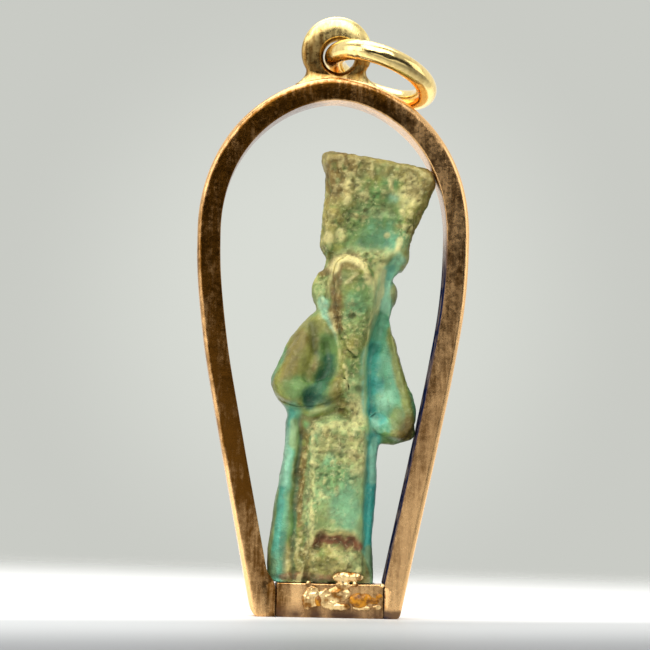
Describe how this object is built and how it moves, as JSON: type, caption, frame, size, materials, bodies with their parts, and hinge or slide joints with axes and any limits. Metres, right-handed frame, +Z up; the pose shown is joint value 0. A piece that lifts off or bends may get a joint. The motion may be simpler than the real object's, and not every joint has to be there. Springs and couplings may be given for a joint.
{
  "type": "faience amulet pendant",
  "caption": "Small worn green-blue faience figure with a tall flaring crown, cemented upright inside an arched gold frame with a hanging loop and ring.",
  "frame": {"origin": "middle of the flat underside on which the frame stands, halfway between the outer corners of its two feet and halfway through its depth", "axes": "+Z up along the frame, towards the hanging loop; +X to the figure's right as the picture shows it, along the bar; -Y to the front, where the figure faces"},
  "size_m": [0.0138, 0.0058, 0.0305],
  "materials": {
    "gold": "worn 9 carat rose gold, brushed on its faces and polished on its edges",
    "solder": "lumpy gold solder, partly bright",
    "resin": "old amber resin",
    "faience": "worn and mottled faience, matt on its raised parts with blue-green glaze in the hollows"
  },
  "bodies": {
    "root": {"arch": "gold", "bar": "gold", "hanging_loop": "gold", "jump_ring": "gold", "figure": "faience", "solder": "solder", "resin": "resin"}
  },
  "joints": []
}
